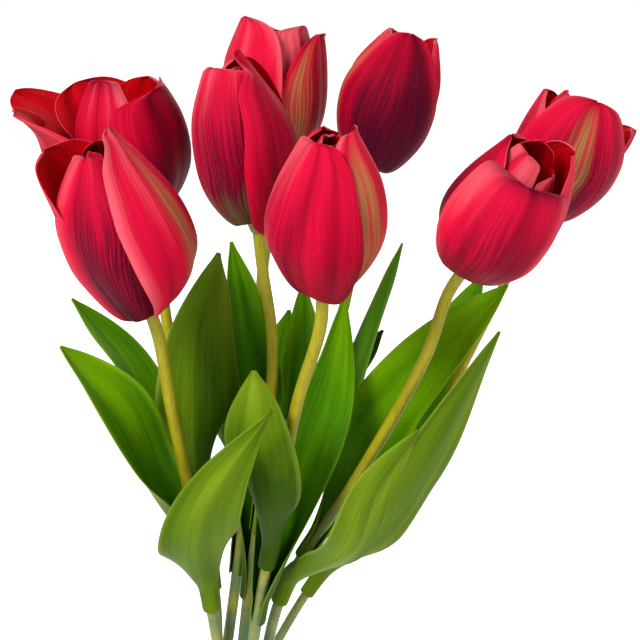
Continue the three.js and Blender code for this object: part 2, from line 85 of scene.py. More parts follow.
# %% Light the bunch
def soft_box(name, place, size, power):
    bpy.ops.object.light_add(type="AREA", location=place)
    lamp = bpy.context.object
    lamp.name = name
    lamp.data.shape = "SQUARE"
    lamp.data.size = size
    lamp.data.energy = power
    lamp.rotation_euler = (Vector(place) - aim).to_track_quat("Z", "Y").to_euler()
    return lamp


soft_box("key_lamp", (-0.6, -0.9, 1.05), 0.45, 17.0)
soft_box("fill_lamp", (1.0, -0.8, 0.5), 0.9, 3.5)
soft_box("rim_lamp", (0.3, 1.1, 1.0), 0.8, 7.0)

# %% [markdown]
# Every finish here is a small tree of nodes. A painted picture could be wrapped round each petal
# instead, but a tree stays sharp from close by and gives every petal a print of its own. These
# helpers add a node and link it in one line, so that a finish reads like a recipe.

# %% Make helpers for finishes
def new_material(name, roughness):
    material = bpy.data.materials.new(name)
    material.use_nodes = True
    tree = material.node_tree
    shader = tree.nodes["Principled BSDF"]
    shader.inputs["Roughness"].default_value = roughness
    return material, tree, shader


def feed(tree, socket, source):
    if isinstance(source, bpy.types.NodeSocket):
        tree.links.new(source, socket)
    else:
        socket.default_value = source


def calculate(tree, operation, *terms):
    node = tree.nodes.new("ShaderNodeMath")
    node.operation = operation
    for socket, term in zip(node.inputs, terms):
        feed(tree, socket, term)
    return node.outputs[0]


def fade(tree, source, start, end, low=0.0, high=1.0):
    node = tree.nodes.new("ShaderNodeMapRange")
    node.interpolation_type = "SMOOTHSTEP"
    names = ("Value", "From Min", "From Max", "To Min", "To Max")
    for name, term in zip(names, (source, start, end, low, high)):
        feed(tree, node.inputs[name], term)
    return node.outputs[0]


print("helpers for finishes ready")

# %% [markdown]
# Floor and world. Both look white to the camera through Is Camera Ray, and the same white shows in
# reflections. The light that reaches the flowers is weaker than that white, so that the reds keep
# their depth.

# %% Make the floor and the world
floor_radius = 6.0
floor_glow = 0.85
light_from_world = 0.3


def camera_sees(tree):
    path = tree.nodes.new("ShaderNodeLightPath")
    seen = calculate(tree, "MAXIMUM", path.outputs["Is Camera Ray"], path.outputs["Is Glossy Ray"])
    return calculate(tree, "MAXIMUM", seen, path.outputs["Is Transmission Ray"])


bpy.ops.mesh.primitive_circle_add(vertices=96, radius=floor_radius, fill_type="NGON")
floor = bpy.context.object
floor.name = "floor"
floor_paint, tree, shader = new_material("pale_floor", 0.9)
shader.inputs["Base Color"].default_value = (0.86, 0.86, 0.85, 1.0)
shader.inputs["Emission Color"].default_value = (1.0, 1.0, 1.0, 1.0)
glow = calculate(tree, "MULTIPLY", camera_sees(tree), floor_glow)
feed(tree, shader.inputs["Emission Strength"], glow)
floor.data.materials.append(floor_paint)

world = bpy.data.worlds.new("studio")
bpy.context.scene.world = world
world.use_nodes = True
tree = world.node_tree
background = tree.nodes["Background"]
background.inputs["Color"].default_value = (1.0, 1.0, 1.0, 1.0)
feed(tree, background.inputs["Strength"], fade(tree, camera_sees(tree), 0.0, 1.0, light_from_world, 1.0))
print("floor and world made")

# %% [markdown]
# Each flower is described once, as its maker would: where its stem passes, how full the head is,
# how each petal stands, and where its leaves go. A petal faces the side `at`, 0 being the front and
# 90 the right. `wide` is half its width, and `rise` and `blunt` say how fast it widens and narrows.
# `belly` is how far it bulges at the share `full` of its height, `shoulder` says how much of that
# is left a little higher, and its tip stands `open` from the middle of the head. `sag` lets its
# foot hang below the ring, and `over` lifts its left and right edges over their neighbours or
# tucks them in.
#
# The print has its own values. `tone` runs from deep maroon to bright coral, and `streaks` says how
# strongly the dark lines are printed. `band` is the place of the yellow-green band across the petal,
# from -1 at its left edge to 1 at its right, and 3 leaves it out. `foot` is how high the green of
# the foot climbs, `dark` is the place of the dark lines, and `rim` darkens the tip. The side-light
# value is painted light and not print: it makes the right side lighter than the left.
#
# A leaf is tied to its stem from the height `start` on, runs `through` its points and turns its
# hollow side to `face`. `wide` is half its width too, and `rise` and `taper` say how fast its blade
# widens and narrows. `fold` is how far the blade stays folded, `sides` spreads its left and right
# half, and `opening` is the length over which it opens. `light` is painted light and shade: it sets
# the green from dark to bright by how much light the leaf gets. `depth` paints shade towards its
# foot, down in the bunch, and light towards its tip.

# %% Describe the flowers
PETAL = dict(
    wide=25, high=64, belly=20, open=8, rise=0.7, blunt=0.62, sag=2.5, over=(-1, 1),
    full=0.42, shoulder=0.88, tone=0.5, streaks=0.5, band=3.0, foot=0.3, painted_side_light=0.0, dark=0.0,
    rim=0.0,
)
FLOWERS = {
    "a": dict(
        course=[(-9, 4, 135), (-18, 14, 190), (-29, 26, 255)],
        head=dict(high=48, open=26, belly=25, wide=29, blunt=0.5),
        outer=[
            dict(at=63, high=47, open=18, belly=22.5, wide=27, rise=0.45, blunt=0.22, tone=0.0,
                 streaks=0.3),
            dict(at=248, high=49, open=47, belly=27, wide=27, blunt=0.75, tone=0.35),
            dict(at=301, high=53, open=41, belly=34, wide=30, blunt=0.65, full=0.5, tone=0.45,
                 streaks=0.3),
        ],
        inner=[
            dict(at=-28, high=54, open=7, belly=19.5, wide=27, blunt=0.55, tone=0.7, streaks=0.25,
                 rim=0.6, painted_side_light=0.3),
            dict(at=139, high=46, open=18, belly=17.8, wide=26, tone=0.3),
            dict(at=222, high=47, open=28.5, belly=18.8, wide=30, blunt=0.5, shoulder=0.84, tone=0.2),
        ],
        leaves=[
            dict(start=140, through=[(-31, 12, 200), (-43, 22, 230), (-67, 26, 259)],
                 face=(0.8, -0.4, 0.6), wide=15, fold=0.6, light=0.55),
            dict(start=168, through=[(-15, -6, 216), (-14, -2, 249), (-5, 4, 283)],
                 face=(-0.2, 1, 0.2), wide=15.5, fold=0.6, light=0.3, depth=0.9, rise=0.42,
                 sides=(1.7, 1.0)),
        ],
    ),
    "b": dict(
        course=[(-7, -14, 125), (-12, -27, 175), (-20, -41, 235)],
        head=dict(high=62, open=7, belly=21, sag=3, over=(1, -1)),
        outer=[
            dict(at=-30, high=57, wide=30, blunt=0.32, sag=6, over=(1, -2), tone=0.5, streaks=1.0,
                 painted_side_light=-0.55, dark=0.35),
            dict(at=80, high=64, open=5, belly=23, wide=27, rise=1.2, full=0.3, shoulder=0.78, sag=1.5,
                 over=(2.5, -1), tone=0.55, streaks=0.2, band=-0.15, foot=0.6, painted_side_light=-0.3),
            dict(at=242, high=56, open=24, wide=26, blunt=0.4, tone=0.15, streaks=0.1),
        ],
        inner=[
            dict(at=71, high=55, open=3, belly=15.2, shoulder=0.8, tone=0.3),
            dict(at=196, high=58, open=5, belly=15.2, wide=30, shoulder=0.8, tone=0.2),
            dict(at=315, high=57, open=3.2, belly=15.3, blunt=0.35, shoulder=0.78, tone=0.25),
        ],
        leaves=[
            dict(start=143, through=[(-9, -56, 191), (-1, -66, 214), (18, -68, 243)],
                 face=(-0.1, 1, 0.1), wide=17, fold=0.5, light=0.45, rise=0.5, taper=1.1,
                 sides=(0.9, 0.9)),
            dict(start=160, through=[(-28, -34, 198), (-42, -36, 230), (-61, -34, 256)],
                 face=(0.9, -0.3, 0.5), wide=16, fold=0.6, light=0.6, depth=0.8, sides=(1.0, 1.4)),
        ],
    ),
    "c": dict(
        course=[(5, -3, 141), (13, -7, 200), (16, -9, 251)],
        head=dict(high=61, open=6, belly=19, wide=24, over=(1, -1)),
        outer=[
            dict(at=-43, high=58, open=12, belly=19.5, wide=26, blunt=0.26, sag=1, over=(1, -3),
                 tone=0.75, streaks=1.0, foot=0.8, painted_side_light=-0.5, dark=0.15),
            dict(at=72, high=63, open=0, belly=19, rise=0.8, blunt=0.7, full=0.36, shoulder=0.8, sag=1,
                 over=(3.5, -1), tone=0.45, streaks=0.25, painted_side_light=0.3),
            dict(at=194, high=60, tone=0.4),
        ],
        inner=[
            dict(at=13, high=57, open=2.6, belly=13.8, shoulder=0.82, tone=0.5),
            dict(at=129, high=57, open=2.6, belly=12.3, shoulder=0.8, tone=0.25),
            dict(at=251, high=55, open=4.6, belly=14.8, shoulder=0.82, tone=0.3),
        ],
        leaves=[
            dict(start=140, through=[(9.5, 11, 204), (5, 15, 249), (-1, 20, 284)],
                 face=(0.1, -1, 0.1), wide=14, fold=0.7, light=0.35, depth=0.9, rise=0.55),
            dict(start=170, through=[(25, -3, 214), (28, 5, 242), (28, 14, 270)],
                 face=(-0.8, -0.8, 0.2), wide=11, fold=0.6, light=0.45, depth=0.9),
        ],
    ),
    "d": dict(
        course=[(-1, 14, 140), (7, 29, 205), (10, 40, 262)],
        head=dict(high=52, open=12, belly=21, wide=27),
        outer=[
            dict(at=-64, high=56, open=13, wide=30, blunt=0.5, tone=0.7, streaks=0.1),
            dict(at=74, high=50, open=19, wide=27, blunt=0.62, tone=0.5, streaks=0.2, foot=0.7,
                 band=-0.6),
            dict(at=190, high=50, tone=0.85, band=0.0),
        ],
        inner=[
            dict(at=60, high=53, open=12, wide=30, blunt=0.5, tone=1.1, band=0.1),
            dict(at=165, tone=0.6),
            dict(at=285, high=48, tone=0.5),
        ],
        leaves=[
            dict(start=142, through=[(12, 37, 186), (16, 52, 216), (21, 62, 245)],
                 face=(0, -1, 0.4), wide=14, fold=0.6, light=0.4, depth=0.8),
            dict(start=170, through=[(-9, 31, 200), (-19, 44, 222), (-23, 50, 252)],
                 face=(0.8, -0.6, 0.3), wide=13, fold=0.6, light=0.55, depth=0.8),
        ],
    ),
    "e": dict(
        course=[(9, 14, 135), (26, 22, 195), (46, 32, 262)],
        head=dict(high=54, open=7, belly=18.5, wide=23),
        outer=[
            dict(at=-7, high=53, open=5, belly=19, wide=26, blunt=0.75, over=(1, 1), tone=0.0,
                 streaks=1.0, band=-1.05),
            dict(at=106, high=53, open=11, over=(-1, 1), tone=0.3, streaks=0.4),
            dict(at=241, high=52, open=9, wide=26, blunt=0.45, over=(-1, -1), tone=0.6),
        ],
        inner=[
            dict(at=49, tone=0.3),
            dict(at=169, tone=0.5),
            dict(at=290, tone=0.6),
        ],
        leaves=[
            dict(start=140, through=[(40, 18, 200), (54, 33, 236), (69, 46, 278)],
                 face=(-0.8, -0.4, 0.3), wide=11, fold=0.6, light=0.6),
            dict(start=174, through=[(35, 42, 208), (46, 52, 220), (62, 61, 236)],
                 face=(-0.6, -1, 0.3), wide=9, fold=0.5, light=0.15),
        ],
    ),
    "f": dict(
        course=[(8, -17, 130), (17, -34, 185), (26, -49, 238)],
        head=dict(high=54, open=7, belly=20, wide=25, shoulder=0.76),
        outer=[
            dict(at=-41, high=52, wide=28, rise=0.85, blunt=0.5, full=0.38, shoulder=0.68, sag=3.5,
                 over=(1, 2), tone=0.5, streaks=0.6, painted_side_light=-0.5, dark=-0.3),
            dict(at=76, high=55, open=7, wide=27, over=(-2.5, 1), tone=0.8, streaks=0.2, band=-0.35),
            dict(at=205, high=53, wide=24, over=(-1, -1), tone=0.3),
        ],
        inner=[
            dict(at=25, high=50, open=2, belly=15.8, shoulder=0.76, tone=0.6),
            dict(at=142, high=52, open=2.4, belly=14.3, shoulder=0.68, tone=0.5),
            dict(at=248, high=52, open=2.6, belly=15.3, wide=28, blunt=0.4, shoulder=0.7, tone=0.5),
        ],
        leaves=[
            dict(start=138, through=[(27, -19, 201), (37, -15, 230), (44, -10, 269)],
                 face=(0.4, -1, 0.1), wide=14, fold=0.5, light=0.4, depth=0.6, rise=0.45, opening=75),
            dict(start=166, through=[(12, -49, 202), (10, -55, 228), (11, -54, 253)],
                 face=(0.3, 1, 0.2), wide=12.5, fold=0.6, light=0.1, depth=1.8, sides=(1.4, 1.2)),
        ],
    ),
    "g": dict(
        course=[(20, -14, 149), (48, -25, 200), (73, -37, 253)],
        head=dict(high=55, open=12, belly=19.5, wide=26, full=0.38, sag=3.5),
        outer=[
            dict(at=-8, high=44, open=13, wide=22, blunt=0.26, over=(1, 1), tone=0.45, streaks=0.7,
                 rim=0.8),
            dict(at=108, high=52, open=12, over=(-1, 1), tone=0.7, streaks=0.4, band=0.9),
            dict(at=235, high=48, open=12, wide=28, blunt=0.45, shoulder=0.74, over=(-1, -1), tone=0.25,
                 streaks=0.6),
        ],
        inner=[
            dict(at=68, high=45, open=7.7, belly=13.8, shoulder=0.84, tone=0.8),
            dict(at=177, high=51, open=5.2, belly=16, wide=28, blunt=0.4, shoulder=0.86, tone=0.3),
            dict(at=311, high=50, open=6.2, belly=15, wide=25, blunt=0.45, tone=0.85),
        ],
        leaves=[
            dict(start=143, through=[(45, -50, 183), (54, -61, 212), (69, -63, 234)],
                 face=(-0.1, 0.9, 0.5), wide=12, fold=0.5, light=0.55, sides=(0.8, 0.8)),
            dict(start=165, through=[(51, 0, 206), (73, -8, 238), (106, -8, 273)],
                 face=(-0.3, -0.9, 0.5), wide=14.5, fold=0.6, light=0.7, depth=0.8),
        ],
    ),
    "h": dict(
        slim=True,
        course=[(30, 9, 138), (68, 14, 186), (101, 20, 250)],
        head=dict(high=48, open=13, belly=20.5, wide=26),
        outer=[
            dict(at=-1, high=50, open=11, wide=27, blunt=0.62, over=(1, 1), tone=0.3, streaks=1.0,
                 foot=0.6, dark=0.1, band=-0.05),
            dict(at=101, high=40, open=23, over=(-2, 1), tone=0.35, streaks=0.4),
            dict(at=248, high=43, open=18, wide=28, over=(-1, -1), tone=0.7),
        ],
        inner=[
            dict(at=52, tone=0.6),
            dict(at=167, high=42, tone=0.4),
            dict(at=272, high=47, open=10, tone=0.8),
        ],
        leaves=[
            dict(start=136, through=[(58, -25, 181), (78, -41, 222), (99, -42, 264)],
                 face=(-0.3, 0.8, 0.6), wide=11.5, fold=0.5, light=0.55, sides=(1.2, 1.0)),
            dict(start=160, through=[(68, 32, 200), (83, 40, 228), (103, 46, 264)],
                 face=(0.1, -0.9, 0.5), wide=13, fold=0.6, light=0.5),
        ],
    ),
}
print("flowers", ", ".join(FLOWERS))

# %% [markdown]
# Petals and leaves follow curves through a few points, so a smooth curve is the first tool. This
# one is the centripetal kind, which doesn't overshoot at tight corners. It is sampled once, and
# asking for a share of its length gives the place and the heading there.

# %% Make smooth curves
def eased_between(start, end, leave, arrive, share):
    cube = 2 * start - 2 * end + leave + arrive
    square = -3 * start + 3 * end - 2 * leave - arrive
    return start + share * (leave + share * (square + share * cube))


def curve_point(before, start, end, after, share):
    first = (start - before).length ** 0.5 or 1.0
    middle = (end - start).length ** 0.5 or 1.0
    last = (after - end).length ** 0.5 or 1.0
    leave = (start - before) / first - (end - before) / (first + middle) + (end - start) / middle
    arrive = (end - start) / middle - (after - start) / (middle + last) + (after - end) / last
    return eased_between(start, end, leave * middle, arrive * middle, share)


class SmoothCurve:
    def __init__(self, points, steps=60):
        points = [Vector(point) for point in points]
        ends = [2 * points[0] - points[1]] + points + [2 * points[-1] - points[-2]]
        self.places = []
        for first in range(len(points) - 1):
            for step in range(steps):
                self.places.append(curve_point(*ends[first:first + 4], step / steps))
        self.places.append(points[-1])
        self.marks = [0.0]
        for near, far in zip(self.places, self.places[1:]):
            self.marks.append(self.marks[-1] + (far - near).length)
        self.length = self.marks[-1]

    def place(self, share):
        mark = min(max(share, 0.0), 1.0) * self.length
        low, high = 0, len(self.marks) - 1
        while high - low > 1:
            middle = (low + high) // 2
            if self.marks[middle] <= mark:
                low = middle
            else:
                high = middle
        part = (mark - self.marks[low]) / max(self.marks[high] - self.marks[low], 1e-9)
        return self.places[low].lerp(self.places[high], part)

    def heading(self, share):
        return (self.place(min(share + 0.004, 1.0)) - self.place(max(share - 0.004, 0.0))).normalized()

    def share_at_height(self, height, steps=500):
        shares = [step / steps for step in range(steps + 1)]
        return min(shares, key=lambda share: abs(self.place(share).z - height))


bow = SmoothCurve([(0, 0, 0), (5, 0, 10), (0, 0, 20)])
print("a bow 20 mm high is", round(bow.length, 1), "mm long")

# %% [markdown]
# Every stem stands on its bend joint in the crown and ends under its head, on the line of its
# swivel joint, so the two ends come from the frame. Only the points between them are listed. The
# last stretch is straight, because the head sits on a straight peg.

# %% Find the line of each stem
stem_radius = 2.3
slim_stem_radius = 1.9
head_seat = 4.6
straight_neck = 14
for letter, flower in FLOWERS.items():
    bend = joints["bend_" + letter]
    swivel = joints["swivel_" + letter]
    flower["foot"] = Vector(bend["pos_m"]) / MM
    flower["base"] = Vector(swivel["pos_m"]) / MM
    flower["axis"] = Vector(swivel["axis"]).normalized()
    flower["radius"] = slim_stem_radius if flower.get("slim") else stem_radius
    top = flower["base"] - flower["axis"] * head_seat
    below = top - flower["axis"] * straight_neck
    flower["path"] = SmoothCurve([flower["foot"], *flower["course"], below, top])
    print("stem", letter, round(flower["path"].length), "mm long")

# %% [markdown]
# A sheet of fabric starts as a flat grid, one point for every step across and along. Edit mode is
# not needed to curve it: each point knows how far across and along it lies, and is moved to the
# place that a formula gives. The grid keeps its own UV map, so a print can follow the fabric as it
# curls. Solidify then gives it its thickness, with a second material on its inner face, and one
# level of Subdivision Surface rounds the cut rim.

# %% Select one piece and apply a modifier
def deselect_all():
    if bpy.context.mode != "OBJECT":
        bpy.ops.object.mode_set(mode="OBJECT")
    bpy.ops.object.select_all(action="DESELECT")


def make_active(piece):
    deselect_all()
    piece.select_set(True)
    bpy.context.view_layer.objects.active = piece


def apply_modifier(kind, **settings):
    piece = bpy.context.object
    bpy.ops.object.modifier_add(type=kind)
    modifier = piece.modifiers[-1]
    for name, value in settings.items():
        setattr(modifier, name, value)
    bpy.ops.object.modifier_apply(modifier=modifier.name)


deselect_all()
print("pieces selected:", len(bpy.context.selected_objects))

# %% Make a curved sheet
def curved_sheet(name, surface, columns, rows, thickness, paints, facts):
    deselect_all()
    bpy.ops.mesh.primitive_grid_add(x_subdivisions=columns, y_subdivisions=rows, size=2.0)
    piece = bpy.context.object
    piece.name = name
    mesh = piece.data
    mesh.name = name
    along_steps = {}
    for point in mesh.vertices:
        along_steps.setdefault(round(point.co.y, 5), []).append(point)
    for along, points in along_steps.items():
        section = surface((along + 1) / 2)
        for point in points:
            point.co = section(point.co.x) * MM
    for fact, amount in facts.items():
        layer = mesh.attributes.new(fact, "FLOAT", "POINT")
        layer.data.foreach_set("value", [amount] * len(mesh.vertices))
    for paint in paints:
        mesh.materials.append(paint)
    apply_modifier(
        "SOLIDIFY", thickness=thickness * MM, offset=0.0, material_offset=1, use_quality_normals=True)
    apply_modifier("SUBSURF", levels=1, render_levels=1)
    bpy.ops.object.shade_smooth()
    return piece


def joined(name, pieces):
    make_active(pieces[0])
    for piece in pieces:
        piece.select_set(True)
    bpy.ops.object.join()
    piece = bpy.context.object
    piece.name = name
    piece.data.name = name
    return piece


print("sheets are made from flat grids")

# %% [markdown]
# Petal cloth. The outer side is printed: crimson in the middle, dark purple lines that run up from
# the base, and a yellow-green band and foot. The coral at the edges and towards the tip is partly
# print and partly painted highlight. The inside is one plain deep red, painted brighter than the
# cloth is, to stand in for the light that shines through it. The print follows the UV map of each
# petal, so its lines converge at the foot and the tip as they do on the real cloth. The fine ribs
# are a bump along the same lines, and a faint sheen gives the satin edge that woven polyester has.

# %% Make helpers for prints
def mixed(tree, share, first, second):
    node = tree.nodes.new("ShaderNodeMix")
    node.data_type = "RGBA"
    feed(tree, node.inputs[0], share)
    feed(tree, node.inputs[6], first)
    feed(tree, node.inputs[7], second)
    return node.outputs[2]


def noise(tree, place, scale, detail):
    node = tree.nodes.new("ShaderNodeTexNoise")
    feed(tree, node.inputs["Vector"], place)
    node.inputs["Scale"].default_value = scale
    node.inputs["Detail"].default_value = detail
    return node.outputs["Fac"]


def bumped(tree, shader, height, depth):
    node = tree.nodes.new("ShaderNodeBump")
    node.inputs["Distance"].default_value = depth * MM
    feed(tree, node.inputs["Height"], height)
    tree.links.new(node.outputs[0], shader.inputs["Normal"])


def attribute(tree, name):
    node = tree.nodes.new("ShaderNodeAttribute")
    node.attribute_name = name
    return node.outputs["Fac"]


def off_centre(tree, source, amount, base):
    return calculate(tree, "MULTIPLY_ADD", calculate(tree, "SUBTRACT", source, 0.5), amount, base)


def shade(red, green, blue):
    def linear(channel):
        share = channel / 255.0
        return share / 12.92 if share <= 0.04045 else ((share + 0.055) / 1.055) ** 2.4

    return (linear(red), linear(green), linear(blue), 1.0)


print("a middle red is", [round(channel, 3) for channel in shade(200, 10, 45)])

# %% Find a place on the cloth
threads_across = 240.0
threads_along = 620.0
number_shift = 7.3


def cloth_place(tree):
    coordinates = tree.nodes.new("ShaderNodeUVMap")
    split = tree.nodes.new("ShaderNodeSeparateXYZ")
    tree.links.new(coordinates.outputs[0], split.inputs[0])
    across = calculate(tree, "MULTIPLY_ADD", split.outputs["X"], 2.0, -1.0)
    return across, split.outputs["Y"]


def stretched(tree, across, along, wide, long):
    combine = tree.nodes.new("ShaderNodeCombineXYZ")
    feed(tree, combine.inputs["X"], calculate(tree, "MULTIPLY", across, wide))
    feed(tree, combine.inputs["Y"], calculate(tree, "MULTIPLY", along, long))
    feed(tree, combine.inputs["Z"], calculate(tree, "MULTIPLY", attribute(tree, "number"), number_shift))
    return combine.outputs[0]


def weave(tree, across, along):
    warp = calculate(tree, "SINE", calculate(tree, "MULTIPLY", across, threads_across))
    weft = calculate(tree, "SINE", calculate(tree, "MULTIPLY", along, threads_along))
    return calculate(tree, "MULTIPLY", warp, weft)


print("about", round(threads_across / math.pi), "threads lie across a petal")

# %% [markdown]
# The print is built up in the order in which cloth is printed: the red ground first, then the dark
# lines, the dark tip, the green band and the green foot. The red ground also carries painted
# highlight: it turns towards coral at the edges and towards the tip, partly as printed and partly
# as light, and one side of each petal is painted lighter than the other. Each layer is one function
# that takes the paint so far and returns it with its own colour on top. Soft noise that is stretched
# along the petal keeps the borders of the layers ragged.

# %% Print the red ground and paint its highlights
# Coral is both the lightest print and the colour of the painted highlight.
coral = shade(246, 96, 110)
bright_red = shade(224, 12, 58)
crimson = shade(178, 0, 40)
maroon = shade(108, 0, 30)


def red_ground_and_highlights(tree, across, edge, along, broad, fine):
    tone = attribute(tree, "tone")
    # Painted highlight: the red lightens towards coral at the edges and towards the tip, partly print and
    # partly light, and the side-light value lightens one side of the petal.
    light = calculate(tree, "MULTIPLY_ADD", calculate(tree, "POWER", edge, 2.5), 0.65, tone)
    light = calculate(tree, "MULTIPLY_ADD", across, attribute(tree, "painted_side_light"), light)
    light = off_centre(tree, along, 0.9, light)
    light = off_centre(tree, broad, 2.0, light)
    light = off_centre(tree, fine, 0.45, light)
    low = mixed(tree, fade(tree, light, -0.1, 0.5), maroon, crimson)
    high = mixed(tree, fade(tree, light, 0.4, 1.0), low, bright_red)
    return mixed(tree, fade(tree, light, 1.0, 1.7, 0.0, 0.9), high, coral)


print("four reds, from maroon to coral")

# %% Print the dark lines and the dark tip
purple = shade(64, 4, 34)


def dark_lines(tree, paint, across, along, broad, hair):
    wander = calculate(tree, "ABSOLUTE", calculate(tree, "SUBTRACT", across, attribute(tree, "dark")))
    wander = off_centre(tree, broad, 0.7, wander)
    middle = calculate(tree, "MULTIPLY", fade(tree, wander, 0.95, 0.35), fade(tree, along, 1.0, 0.55))
    lines = fade(tree, hair, 0.42, 0.56, 0.4, 1.0)
    lines = calculate(tree, "MULTIPLY", lines, middle)
    lines = calculate(tree, "MULTIPLY", lines, attribute(tree, "streaks"))
    return mixed(tree, calculate(tree, "MULTIPLY", lines, 0.9), paint, purple)


def dark_tip(tree, paint, along, fine):
    rim = calculate(tree, "MULTIPLY", fade(tree, along, 0.84, 0.99), attribute(tree, "rim"))
    rim = calculate(tree, "MULTIPLY", rim, fade(tree, fine, 0.3, 0.6, 0.4, 0.9))
    return mixed(tree, rim, paint, purple)


print("dark lines and tip in purple")

# %% Print the green band and the green foot
tan_green = shade(182, 146, 82)
foot_green = shade(112, 96, 54)


def green_band(tree, paint, across, along, fine, hair):
    offset = calculate(tree, "ABSOLUTE", calculate(tree, "SUBTRACT", across, attribute(tree, "band")))
    offset = off_centre(tree, fine, 0.25, offset)
    offset = calculate(tree, "MULTIPLY_ADD", calculate(tree, "SUBTRACT", 1.0, along), -0.16, offset)
    band = calculate(tree, "MULTIPLY", fade(tree, offset, 0.24, 0.02), fade(tree, along, 0.99, 0.75))
    band = calculate(tree, "MULTIPLY", band, fade(tree, hair, 0.4, 0.56, 0.15, 0.85))
    return mixed(tree, band, paint, mixed(tree, along, foot_green, tan_green))


def green_foot(tree, paint, along, fine, hair):
    foot = off_centre(tree, fine, 0.3, along)
    foot = calculate(tree, "SUBTRACT", foot, calculate(tree, "MULTIPLY", attribute(tree, "foot"), 0.5))
    foot = fade(tree, foot, 0.08, -0.1)
    foot = calculate(tree, "MULTIPLY", foot, fade(tree, hair, 0.36, 0.6, 0.95, 0.5))
    return mixed(tree, foot, paint, foot_green)


print("band and foot in two greens")

# %% Mix the printed cloth
matte_shine = 0.05
rib_bump = 0.6


def printed_petal_cloth():
    material, tree, shader = new_material("printed_petal_cloth", 0.5)
    straight, along = cloth_place(tree)
    edge = calculate(tree, "ABSOLUTE", straight)
    broad = noise(tree, stretched(tree, straight, along, 2.6, 0.8), 1.0, 2.0)
    drift = noise(tree, stretched(tree, straight, along, 1.7, 2.3), 1.0, 1.0)
    across = off_centre(tree, drift, 0.35, straight)
    fine = noise(tree, stretched(tree, across, along, 13.0, 1.2), 1.0, 3.0)
    hair = noise(tree, stretched(tree, across, along, 46.0, 2.0), 1.0, 2.0)

    paint = red_ground_and_highlights(tree, across, edge, along, broad, fine)
    paint = dark_lines(tree, paint, across, along, broad, hair)
    paint = dark_tip(tree, paint, along, fine)
    paint = green_band(tree, paint, across, along, fine, hair)
    paint = green_foot(tree, paint, along, fine, hair)
    feed(tree, shader.inputs["Base Color"], paint)

    ribs = calculate(tree, "MULTIPLY_ADD", hair, 0.6, fine)
    ribs = calculate(tree, "MULTIPLY_ADD", weave(tree, across, along), 0.07, ribs)
    bumped(tree, shader, ribs, rib_bump)
    shader.inputs["Specular IOR Level"].default_value = matte_shine
    shader.inputs["Sheen Weight"].default_value = 0.02
    shader.inputs["Sheen Tint"].default_value = (1.0, 0.3, 0.4, 1.0)
    return material


printed_cloth = printed_petal_cloth()
print("printed cloth has", len(printed_cloth.node_tree.nodes), "nodes")

# %% Mix the plain cloth of the inside
# Both reds of the inside are painted brighter than the cloth, to stand in for the light that shines
# through the thin petals.
deep_red = shade(168, 0, 10)
warm_red = shade(222, 0, 22)
pollen_yellow = shade(190, 160, 60)
fold_bump = 0.4


def plain_petal_cloth():
    material, tree, shader = new_material("plain_petal_cloth", 0.55)
    across, along = cloth_place(tree)
    fine = noise(tree, stretched(tree, across, along, 14.0, 1.2), 1.0, 3.0)
    broad = noise(tree, stretched(tree, across, along, 2.5, 1.5), 1.0, 2.0)
    light = calculate(tree, "MULTIPLY_ADD", fine, 0.5, calculate(tree, "MULTIPLY", broad, 0.5))
    paint = mixed(tree, fade(tree, light, 0.3, 0.75), deep_red, warm_red)
    paint = mixed(tree, fade(tree, along, 0.22, 0.03), paint, pollen_yellow)
    feed(tree, shader.inputs["Base Color"], paint)
    folds = calculate(tree, "MULTIPLY_ADD", weave(tree, across, along), 0.12, fine)
    bumped(tree, shader, folds, fold_bump)
    shader.inputs["Specular IOR Level"].default_value = matte_shine
    return material


plain_cloth = plain_petal_cloth()
print("plain cloth has", len(plain_cloth.node_tree.nodes), "nodes")

# %% [markdown]
# A petal is a long oval that hugs a cup. Its middle line starts at the ring that joins three of
# them, droops a little under the head, swells to the fullest part and comes in to the tip. Across,
# it is an arc of that cup, as wide as the oval is there. Its edges tuck under their neighbours or
# lie over them. It could be sculpted by hand, but then all 48 would have to be, while a formula
# shapes each from its own few values. Ruffles, pleats and a crease along the middle are added on
# top, so that it looks like cloth that was pressed in a heated mould.

# %% Find the middle line of a petal
hub_radius = 4.6
neck_inset = 1.2


def uniform_curve(points, share):
    mark = share * (len(points) - 1)
    first = min(int(mark), len(points) - 2)
    before = points[max(first - 1, 0)]
    start = points[first]
    end = points[first + 1]
    after = points[min(first + 2, len(points) - 1)]
    return eased_between(start, end, (end - before) / 2, (after - start) / 2, mark - first)


def petal_midline(petal, seat):
    high = petal["high"]
    belly = petal["belly"]
    tip = petal["open"]
    full = petal["full"]
    shoulder = petal["shoulder"]
    return [
        Vector((hub_radius - neck_inset, seat)),
        Vector((0.5 * belly, seat - petal["sag"] + 0.03 * high)),
        Vector((0.87 * belly, 0.48 * full * high)),
        Vector((belly, full * high)),
        Vector((shoulder * belly + (1 - shoulder) * tip, (full + 0.28) * high)),
        Vector((tip, high)),
    ]


print("a common petal reaches out to", [round(point.x, 1) for point in petal_midline(PETAL, 0.0)])

# %% Wrinkle the cloth of a petal
ruffle_height = 0.45
crease_depth = 0.5
crease_half_width = 0.12
rib_height = 0.16
pleat_height = 0.4


def ramp(start, end, value):
    share = min(max((value - start) / (end - start), 0.0), 1.0)
    return share * share * (3 - 2 * share)


def wrinkles(across, along, wobble):
    grown = ramp(0.05, 0.3, along)
    ruffle = ruffle_height * math.sin(9 * along + 5 * across + wobble) * across ** 2
    ruffle = ruffle * ramp(0.3, 0.9, along)
    crease = -crease_depth * (1 - min(abs(across) / crease_half_width, 1))
    crease = crease * grown * ramp(1.0, 0.8, along)
    rib = rib_height * math.sin(26 * across + wobble + 0.8 * math.sin(3 * along)) * grown
    pleat = pleat_height * math.sin(8.5 * across + 2 * wobble + 1.2 * along) * ramp(0.1, 0.4, along)
    return ruffle + crease + rib + pleat


